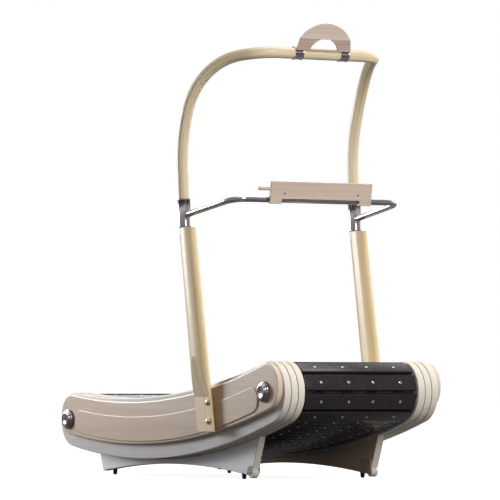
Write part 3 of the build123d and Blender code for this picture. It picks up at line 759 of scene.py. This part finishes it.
def side_plates():
    """Side boards, covers, raised panels and foot panels, from the CAD outlines."""
    board_rim = quarter(BOARD_ROUND, BOARD_ROUND)
    foot_rim = quarter(FOOT_ROUND, FOOT_ROUND)
    for side, sign in SIDES:
        out = Y_AXIS * sign
        for board in ("inner", "middle", "outer"):
            flat_piece(f"{board}_plate_{side}", f"{board}_board_{side}", "laminated_board", out, out,
                       board_rim, board_rim, grow=BOARD_BEVEL)
        flat_piece(f"cover_shell_{side}", f"side_cover_{side}", "cover_wood", out, -out,
                   quarter(0.0008, 0.0008, 2), quarter(*COVER_ROUND, 6))
        flat_piece(f"panel_inlay_{side}", f"cover_panel_{side}", "cover_wood", out, -out,
                   quarter(0.0003, 0.0003, 1), quarter(PANEL_ROUND, PANEL_ROUND))
        flat_piece(f"foot_plate_{side}", f"foot_panel_{side}", "foot_board", out, out,
                   foot_rim, foot_rim)


# ---- running surface ----

def slat_frames():
    """Each slat's matrix at its top middle, first axis along the travel, third outwards, and its size."""
    rear, front = centre("rear_axle"), centre("front_axle")
    line = front - rear
    frames = []
    for island in islands("slats"):
        hub = middle(island)
        end = span(island, Y_AXIS)[1]
        spots = [(p.x - hub.x, p.z - hub.z) for p in island if p.y > end - 1e-4]
        xx = sum(x * x for x, _ in spots)
        zz = sum(z * z for _, z in spots)
        xz = sum(x * z for x, z in spots)
        turn = atan2(2 * xz, xx - zz) / 2
        travel = Vector((cos(turn), 0, sin(turn)))
        out = Vector((-sin(turn), 0, cos(turn)))
        share = min(1.0, max(0.0, (hub - rear).dot(line) / line.length_squared))
        if (hub - rear - line * share).dot(out) < 0:
            out = -out
        low, high = span(island, out)
        back, fore = span(island, travel)
        top = travel * ((back + fore) / 2) + out * high
        columns = Matrix((travel, out.cross(travel), out)).transposed().to_4x4()
        frames.append((Matrix.Translation(top) @ columns, fore - back, high - low))
    return frames


def slat_section(width, thick):
    """Cross-section of a slat: crowned corners above, small ones below, in (travel, height)."""
    half = width / 2
    points = []
    for x, z, radius, first in ((half, 0.0, SLAT_ROUND, 0), (-half, 0.0, SLAT_ROUND, 90),
                                (-half, -thick, 0.0008, 180), (half, -thick, 0.0008, 270)):
        inner_x = x - radius if x > 0 else x + radius
        inner_z = z - radius if z == 0.0 else z + radius
        for step in range(5):
            turn = radians(first + 90 * step / 4)
            points.append((inner_x + radius * cos(turn), inner_z + radius * sin(turn)))
    return points


def add_dot(build, place, x, y):
    """Low moulded dome on a slat."""
    profile = [(0, DOT_RISE), (DOT_R * 0.62, DOT_RISE * 0.86), (DOT_R * 0.93, DOT_RISE * 0.4),
               (DOT_R, -0.0002)]
    lathe(build, place @ Matrix.Translation((x, y, 0)), profile, 12)


def add_screw(build, place):
    """Crowned screw head with a round socket."""
    socket = SCREW_R * 0.46
    profile = [(0, SCREW_RISE * 0.1), (socket, SCREW_RISE * 0.1), (socket * 1.04, SCREW_RISE),
               (SCREW_R * 0.78, SCREW_RISE * 0.82), (SCREW_R * 0.95, SCREW_RISE * 0.4), (SCREW_R, -0.0004)]
    lathe(build, place, profile, 18)


def dot_spots():
    """Places of the grip dots on a slat: three staggered rows a side, the middle one clear of screws."""
    for side in (-1, 1):
        for number in range(DOT_COUNT):
            outer = DOT_FIRST + number * DOT_PITCH
            shifted = outer - DOT_PITCH / 2
            yield -DOT_ROW, side * outer
            if min(abs(shifted - abs(line)) for line in SCREW_LINES) >= SCREW_CLEAR:
                yield 0.0, side * shifted
            yield DOT_ROW, side * outer


def running_surface():
    """Slats with rounded edges, grip dots and crowned screws."""
    half = (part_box("slats")[1].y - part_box("slats")[0].y) / 2
    planks, dots, screws = Build(), Build(), Build()
    end = quarter(SLAT_END_ROUND, SLAT_END_ROUND, 3)
    for place, width, thick in slat_frames():
        section = slat_section(width, thick)
        upright = place @ Matrix.Rotation(radians(90), 4, "X")
        slab(planks, upright, section, -half, half, end, end)
        for line in SCREW_LINES:
            add_screw(screws, place @ Matrix.Translation((0, line, 0)))
        for x, y in dot_spots():
            add_dot(dots, place, x, y)
    piece("running_slats", planks, LOOKS["slat"], "frame", ("slats",), sharp=50)
    piece("slat_grip", dots, LOOKS["slat"], "frame")
    piece("slat_screw_heads", screws, LOOKS["screw"], "frame", ("slat_screws",))


# ---- uprights, arch, handlebar ----

def sleeve_frame(sign):
    """Matrix at a sleeve's middle, third axis up along it."""
    side = "left" if sign > 0 else "right"
    hub = centre(f"post_sleeve_{side}")
    axis = Vector((-sin(SLEEVE_LEAN), 0, cos(SLEEVE_LEAN)))
    return plane_of(axis, X_AXIS, hub)


def sleeves():
    """Chrome sleeves with rolled lips and dark gaskets under and over them."""
    for side, sign in SIDES:
        node = f"post_sleeve_{side}"
        low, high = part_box(node)
        outer = (high.y - low.y) / 2
        half = ((high.z - low.z) - 2 * outer * sin(SLEEVE_LEAN)) / cos(SLEEVE_LEAN) / 2
        lip, skin, bore = outer, outer - 0.0005, TUBE_R + 0.0001
        profile = [(bore, half - 0.0012), (bore + 0.0008, half - 0.0003), (lip - 0.0006, half),
                   (lip, half - 0.0007), (lip, half - 0.0028), (skin, half - 0.0042), (skin, 0.0),
                   (skin, -half + 0.0042), (lip, -half + 0.0028), (lip, -half + 0.0007),
                   (lip - 0.0006, -half), (bore, -half)]
        turned(f"sleeve_shell_{side}", sleeve_frame(sign), profile, 56, "chrome", node)
        gasket = Build()
        for end in (-half, half):
            ring = [(bore - 0.0008, end - 0.0012), (lip - 0.0012, end - 0.0012), (lip - 0.0007, end),
                    (lip - 0.0012, end + 0.0012), (bore - 0.0008, end + 0.0012)]
            ring.append(ring[0])
            lathe(gasket, sleeve_frame(sign), ring, 48)
        piece(f"sleeve_gasket_{side}", gasket, LOOKS["foot_rubber"], "frame")


def mirrored(half):
    """Points on the left side, followed by their mirror images on the right."""
    return half + [Vector((point.x, -point.y, point.z)) for point in reversed(half)]


def top_arch():
    """Bent wooden tube from sleeve to sleeve."""
    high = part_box("top_arch")[1]
    corner_x, corner_z = high.x - TUBE_R, high.z - TUBE_R
    half = [sleeve_frame(1) @ Vector((0, 0, height)) for height in (0.0, ARCH_KNEE)]
    half.append(ARCH_SHOULDER)
    half.append(Vector((corner_x, ARCH_CORNER_Y, corner_z)))
    path = filled(bent(mirrored(half), ARCH_BENDS + ARCH_BENDS[::-1]))
    build = Build()
    tube(build, path, TUBE_R, 48)
    piece("arch_tube", build, LOOKS["bent_wood"], "frame", ("top_arch",))


def handlebar():
    """Bent chrome bar with a flared collar where it meets each sleeve."""
    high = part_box("handlebar")[1]
    bar_x, bar_z = high.x - HANDLE_R, high.z - HANDLE_R
    hub = sleeve_frame(1).translation
    root_x = hub.x + (hub.z - HANDLE_ROOT_Z) * tan(SLEEVE_LEAN)
    half = [Vector((root_x, hub.y, HANDLE_ROOT_Z)), Vector((bar_x, HANDLE_CORNER_Y, bar_z))]
    path = bent(mirrored(half), (HANDLE_BEND, HANDLE_BEND), 0.003)
    for end, near in ((0, 1), (-1, -2)):
        way = (path[near] - path[end]).normalized()
        path[end] = path[end] + way * HANDLE_SET_IN
    build = Build()
    tube(build, filled(path), HANDLE_R, 36, caps=False)
    collar = [(HANDLE_R, 0.0), (HANDLE_R + 0.0022, 0.002), (HANDLE_R + 0.0024, 0.0065),
              (HANDLE_R + 0.0010, 0.0092), (HANDLE_R, 0.0110)]
    for end, near in ((0, 1), (-1, -2)):
        way = (path[near] - path[end]).normalized()
        lathe(build, plane_of(way, Z_AXIS, path[end]), collar, 40)
    piece("handle_tube", build, LOOKS["chrome"], "frame", ("handlebar",))


# ---- turned and fastened parts ----

def axle_caps():
    """Polished stepped caps with a shallow dished face."""
    for end in ("front", "rear"):
        for side, sign in SIDES:
            node = f"{end}_axle_cap_{side}"
            low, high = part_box(node)
            base = (low + high) / 2
            base.y = low.y if sign > 0 else high.y
            place = plane_of(Y_AXIS * sign, X_AXIS, base)
            wide = (high.x - low.x) / 2
            tall = high.y - low.y
            profile = [(0, tall - 0.0012), (wide * 0.14, tall - 0.0012), (wide * 0.18, tall - 0.0003),
                       (wide * 0.60, tall - 0.0001), (wide * 0.66, tall), (wide * 0.70, tall - 0.0006),
                       (wide * 0.72, tall - 0.0022), (wide * 0.725, tall - 0.0034),
                       (wide * 0.78, tall - 0.0036), (wide * 0.83, tall - 0.0044),
                       (wide * 0.85, tall - 0.0062), (wide * 0.86, tall - 0.0086),
                       (wide * 0.92, tall - 0.0092), (wide * 0.98, tall - 0.0104), (wide, tall - 0.0124),
                       (wide, 0.0010), (wide - 0.0010, 0.0), (0, 0.0)]
            turned(f"{end}_cap_{side}", place, profile, 64, "cap_metal", node, sharp=30)


def post_bolt_heads():
    """Domed bolt heads on turned washers."""
    build = Build()
    for island in islands("post_bolts"):
        hub = middle(island)
        sign = 1 if hub.y > 0 else -1
        reach = max(abs(point.y) for point in island)
        left, right = span(island, X_AXIS)
        radius = (right - left) / 2
        seat = reach - BOLT_HEAD
        place = plane_of(Y_AXIS * sign, X_AXIS, Vector((hub.x, sign * seat, hub.z)))
        profile = [(0, BOLT_HEAD), (radius * 0.30, 0.0087), (radius * 0.55, 0.0077), (radius * 0.74, 0.0060),
                   (radius * 0.84, 0.0040), (radius * 0.86, 0.0019), (radius * 0.93, 0.0016),
                   (radius, 0.0010), (radius, 0.0), (0, 0)]
        lathe(build, place, profile, 40)
    piece("post_bolt_heads", build, LOOKS["cap_bolt"], "frame", ("post_bolts",))


def rubber_feet():
    """Tapered ribbed studs under steel lock nuts."""
    studs, nuts = Build(), Build()
    for island in islands("rubber_feet"):
        hub = middle(island)
        left, right = span(island, X_AXIS)
        wide = (right - left) / 2
        place = Matrix.Translation((hub.x, hub.y, span(island, Z_AXIS)[0]))
        profile = [(0, 0.0006), (wide * 0.52, 0.0), (wide * 0.68, 0.0008), (wide * 0.74, 0.0030)]
        for ring in range(3):
            foot = 0.0045 + ring * 0.0040
            size = wide * (0.75 + 0.06 * ring)
            profile += [(size, foot), (size + 0.0007, foot + 0.0010), (size + 0.0007, foot + 0.0022),
                        (size + 0.0002, foot + 0.0032)]
        profile += [(wide * 0.95, STUD_H - 0.0022), (wide, STUD_H - 0.0010), (wide * 0.96, STUD_H),
                    (0, STUD_H)]
        lathe(studs, place, profile, 36)
        nut = wide * 0.62
        lathe(nuts, place, [(0, STUD_H - 0.0005), (nut, STUD_H - 0.0005), (nut, STUD_H + STUD_NUT_H),
                            (0, STUD_H + STUD_NUT_H)], 6)
    piece("foot_studs", studs, LOOKS["foot_rubber"], "frame", ("rubber_feet",))
    piece("foot_nuts", nuts, LOOKS["steel"], "frame")


def transport_wheels():
    """Wheels with a moulded tread, a hub and an axle bolt."""
    for side, sign in SIDES:
        node = f"transport_wheel_{side}"
        low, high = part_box(node)
        hub = (low + high) / 2
        radius = (high.x - low.x) / 2
        half = (high.y - low.y) / 2
        place = plane_of(Y_AXIS * sign, X_AXIS, hub)
        half_profile = [(radius * 0.24, half - 0.0016), (radius * 0.40, half - 0.0016),
                        (radius * 0.44, half - 0.0040), (radius * 0.62, half - 0.0042),
                        (radius * 0.67, half - 0.0006), (radius * 0.72, half),
                        (radius * 0.90, half - 0.0002), (radius * 0.97, half - 0.0016),
                        (radius, half - 0.0042), (radius, 0.0016), (radius - 0.0008, 0.0008)]
        profile = half_profile + [(r, -h) for r, h in reversed(half_profile)]
        turned(f"wheel_tyre_{side}", place, profile, 56, "wheel_tread", node, body=f"wheel_{side}")
        face = place @ Matrix.Translation((0, 0, half - 0.0018))
        bolt = [(0, 0.0012), (radius * 0.10, 0.0012), (radius * 0.12, 0.0024), (radius * 0.20, 0.0020),
                (radius * 0.23, 0.0010), (radius * 0.24, -0.0002), (0, -0.0002)]
        turned(f"wheel_bolt_{side}", face, bolt, 30, "steel", body=f"wheel_{side}")


# ---- console and device holder ----

def console():
    """Console plate with rounded rims, its clips, screws and peg."""
    node = "console_plate"
    out = max(NODES[node].data.polygons, key=lambda face: face.area).normal.copy()
    if out.x < 0:
        out = -out
    rim = quarter(PLATE_ROUND, PLATE_ROUND)
    flat_piece("console_board", node, "plate_wood", out, out, rim, rim, across=Y_AXIS)
    softened("console_clips", "console_brackets", 0.0009, LOOKS["steel"])
    console_screws(out)
    console_peg()


def console_screws(out):
    """Screw heads that look out from the console plate, each with a socket."""
    heads = Build()
    profile = [(0, 0.0008), (0.0024, 0.0008), (0.0025, 0.0028), (0.0040, 0.0025), (0.0051, 0.0014),
               (0.0055, 0.0003), (0.0055, -0.0006), (0, -0.0006)]
    for island in islands("console_screws"):
        hub = middle(island)
        face = span(island, out)[1]
        seat = hub + out * (face - 0.003 - hub.dot(out))
        lathe(heads, plane_of(out, Y_AXIS, seat), profile, 30)
    piece("console_screw_heads", heads, LOOKS["screw"], "console", ("console_screws",))


def console_peg():
    """Turned peg at the console's end, with a groove and a rounded tip."""
    low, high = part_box("console_peg")
    radius = (high.x - low.x) / 2
    neck = radius * 0.86
    base = Vector(((low.x + high.x) / 2, high.y, (low.z + high.z) / 2))
    long = high.y - low.y
    profile = [(0, 0), (radius * 0.98, 0), (radius, 0.0012), (radius, 0.004), (neck, 0.0052), (neck, 0.0075),
               (radius, 0.009), (radius, long - 0.0035), (radius * 0.93, long - 0.0012),
               (radius * 0.72, long - 0.0002), (0, long)]
    turned("console_peg_turned", plane_of(-Y_AXIS, X_AXIS, base), profile, 36, "plate_wood",
           "console_peg", body="console")


def device_holder():
    """Bent wooden holder and its sprung clamps."""
    softened("device_holder", "holder_plate", 0.0016, LOOKS["holder_wood"])
    build = Build()
    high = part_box("holder_clamps")[1]
    for island in islands("holder_clamps"):
        y_low, y_high = span(island, Y_AXIS)
        hub = Vector((high.x - CLAMP_R, (y_low + y_high) / 2, high.z - CLAMP_R))
        half = (y_high - y_low) / 2
        inside = [(0.0216, 0.0), (0.0216, half * 0.55), (0.0221, half * 0.8), (0.0236, half)]
        outside = [(CLAMP_R, half - 0.0004), (0.0236, half * 0.80), (0.0231, half * 0.55), (0.0231, 0.0)]
        profile = [(r, -h) for r, h in reversed(inside[1:])] + inside + outside
        profile += [(r, -h) for r, h in reversed(outside[:-1])]
        profile.append(profile[0])
        lathe(build, plane_of(Y_AXIS, X_AXIS, hub), profile, 40, -CLAMP_SWEEP / 2, CLAMP_SWEEP)
    piece("holder_clips", build, LOOKS["chrome"], "holder", ("holder_clamps",))


# ---- kept CAD nodes ----

KEPT = {
    "post_left": "post_wood", "post_right": "post_wood",
    "carrier_belts": "belt_rubber", "foot_dowels": "steel", "tie_bolts": "steel",
    "spreader_tubes": "steel", "front_axle": "steel", "rear_axle": "steel",
    "front_drum": "drum", "rear_drum": "drum",
    "front_drum_bearings": "steel", "rear_drum_bearings": "steel",
    "wheel_bracket_left": "bracket", "wheel_bracket_right": "bracket",
}


def dress_kept_nodes():
    """Materials for the CAD nodes that are shown as they are."""
    for name, node in NODES.items():
        look = KEPT.get(name) or ("roller" if "roller" in name else None)
        if look:
            node.data.materials.clear()
            node.data.materials.append(LOOKS[look])


# ---- floor, light, camera ----

def studio():
    """Plain pale floor, white surroundings and large soft lights."""
    scene = bpy.context.scene
    scene.view_settings.view_transform = "Standard"
    floor()
    surroundings()
    softbox("key", (0.6, 5.0, 2.6), (0.2, 0.0, 0.8), 2.6, 250, False)
    softbox("rim", (-2.6, 4.4, 2.0), (0.2, 0.2, 0.9), 2.0, 130, False)
    softbox("front", (4.6, -0.6, 1.9), (0.3, 0.0, 0.8), 2.0, 135, False)
    softbox("sparkle", (4.3, -0.6, 3.4), (0.3, 0.0, 0.8), 1.4, 60)
    softbox("graze", (-4.6, -2.5, 1.5), (-0.2, -0.35, 0.40), 1.5, 185)
    softbox("low", (-2.3, -1.5, 0.14), (-0.45, -0.27, 0.08), 0.4, 6.0, False)
    softbox("overhead", (0.0, 0.6, 4.6), (0.0, 0.0, 0.3), 3.0, 90)


def floor():
    """Pale floor that takes soft shadows near the machine and runs off to white."""
    mesh = bpy.data.meshes.new("floor")
    corners = [(x * FLOOR_REACH, y * FLOOR_REACH, 0) for x, y in ((-1, -1), (1, -1), (1, 1), (-1, 1))]
    mesh.from_pydata(corners, [], [(0, 1, 2, 3)])
    made = Shade("floor_paint")
    mottle = made.noise(made.place((1.5, 1.5, 1.5)), 3.0)
    made.set(Base_Color=made.mix(mottle, (0.12, 0.12, 0.12), (0.15, 0.15, 0.15)), Roughness=0.9,
             Specular_IOR_Level=0.1, Emission_Color=(1.0, 1.0, 1.0))
    rise = made.spread(made.vector_math("LENGTH", made.place()), 0.8, 2.6, 0.93, 1.0)
    made.set(Emission_Strength=made.math("MULTIPLY", rise, made.ray("Is Camera Ray")))
    mesh.materials.append(made.mat)
    ground = bpy.data.objects.new("floor", mesh)
    bpy.context.scene.collection.objects.link(ground)


class Sky(Nodes):
    """The world's nodes, with skies shaded by height."""

    def __init__(self, name):
        world = bpy.data.worlds.new(name)
        bpy.context.scene.world = world
        world.use_nodes = True
        super().__init__(world.node_tree)
        self.way = self.tree.nodes.new("ShaderNodeTexCoord").outputs["Generated"]
        self.height = self.spread(self.part(self.way, "Z"), -1.0, 1.0)

    def ramp(self, strength, stops):
        """A sky whose grey follows stops of (height, grey)."""
        ramp = self.tree.nodes.new("ShaderNodeValToRGB")
        elements = ramp.color_ramp.elements
        elements.remove(elements[0])
        for number, (spot, grey) in enumerate(stops):
            stop = elements[0] if number == 0 else elements.new(spot)
            stop.position = spot
            stop.color = (grey, grey, grey * 1.01, 1)
        self.put(ramp.inputs["Fac"], self.height)
        light = self.tree.nodes.new("ShaderNodeBackground")
        self.put(light.inputs["Strength"], strength)
        self.put(light.inputs["Color"], ramp.outputs["Color"])
        return light.outputs[0]

    def choose(self, share, other, chosen):
        """Two skies mixed by a share."""
        both = self.tree.nodes.new("ShaderNodeMixShader")
        for socket, value in zip(both.inputs, (share, other, chosen)):
            self.put(socket, value)
        return both.outputs[0]


def surroundings():
    """World: white to the eye, a soft sky for light, and for reflections a sky that is bright far off."""
    sky = Sky("studio")
    far_share = sky.spread(sky.vector_math("DOT_PRODUCT", sky.way, FAR_OFF), 0.0, 0.8)
    soft = sky.choose(far_share, sky.ramp(0.08, SOFT_SKY), sky.ramp(0.26, SOFT_SKY))
    shiny = sky.choose(far_share, sky.ramp(1.0, NEAR_SKY), sky.ramp(2.4, FAR_SKY))
    lit = sky.choose(sky.ray("Is Glossy Ray"), soft, shiny)
    whole = sky.choose(sky.ray("Is Camera Ray"), lit, sky.ramp(1.0, WHITE_SKY))
    sky.put(sky.tree.nodes["World Output"].inputs[0], whole)


def softbox(name, spot, target, size, watts, mirrored=True):
    """Square area light aimed at a target, seen in reflections or not."""
    light = bpy.data.lights.new(name, "AREA")
    light.shape = "SQUARE"
    light.size = size
    light.energy = watts
    made = bpy.data.objects.new(name, light)
    made.location = spot
    made.visible_camera = False
    made.visible_glossy = mirrored
    way = Vector(target) - Vector(spot)
    made.rotation_mode = "QUATERNION"
    made.rotation_quaternion = way.to_track_quat("-Z", "Y")
    bpy.context.scene.collection.objects.link(made)


def camera():
    """Camera at the viewing angle, level, with a long lens."""
    lens = bpy.data.cameras.new("view")
    lens.sensor_width = 36.0
    lens.lens = LENS_MM
    lens.clip_end = 200.0
    made = bpy.data.objects.new("view", lens)
    made.location = CAMERA_AT
    ahead = Vector((-sin(CAMERA_HEADING) * cos(CAMERA_UP), cos(CAMERA_HEADING) * cos(CAMERA_UP),
                    sin(CAMERA_UP)))
    made.rotation_mode = "QUATERNION"
    made.rotation_quaternion = ahead.to_track_quat("-Z", "Y")
    bpy.context.scene.collection.objects.link(made)
    bpy.context.scene.camera = made


side_plates()
running_surface()
sleeves()
top_arch()
handlebar()
axle_caps()
post_bolt_heads()
rubber_feet()
transport_wheels()
console()
device_holder()
dress_kept_nodes()
studio()
camera()

bpy.context.view_layer.update()
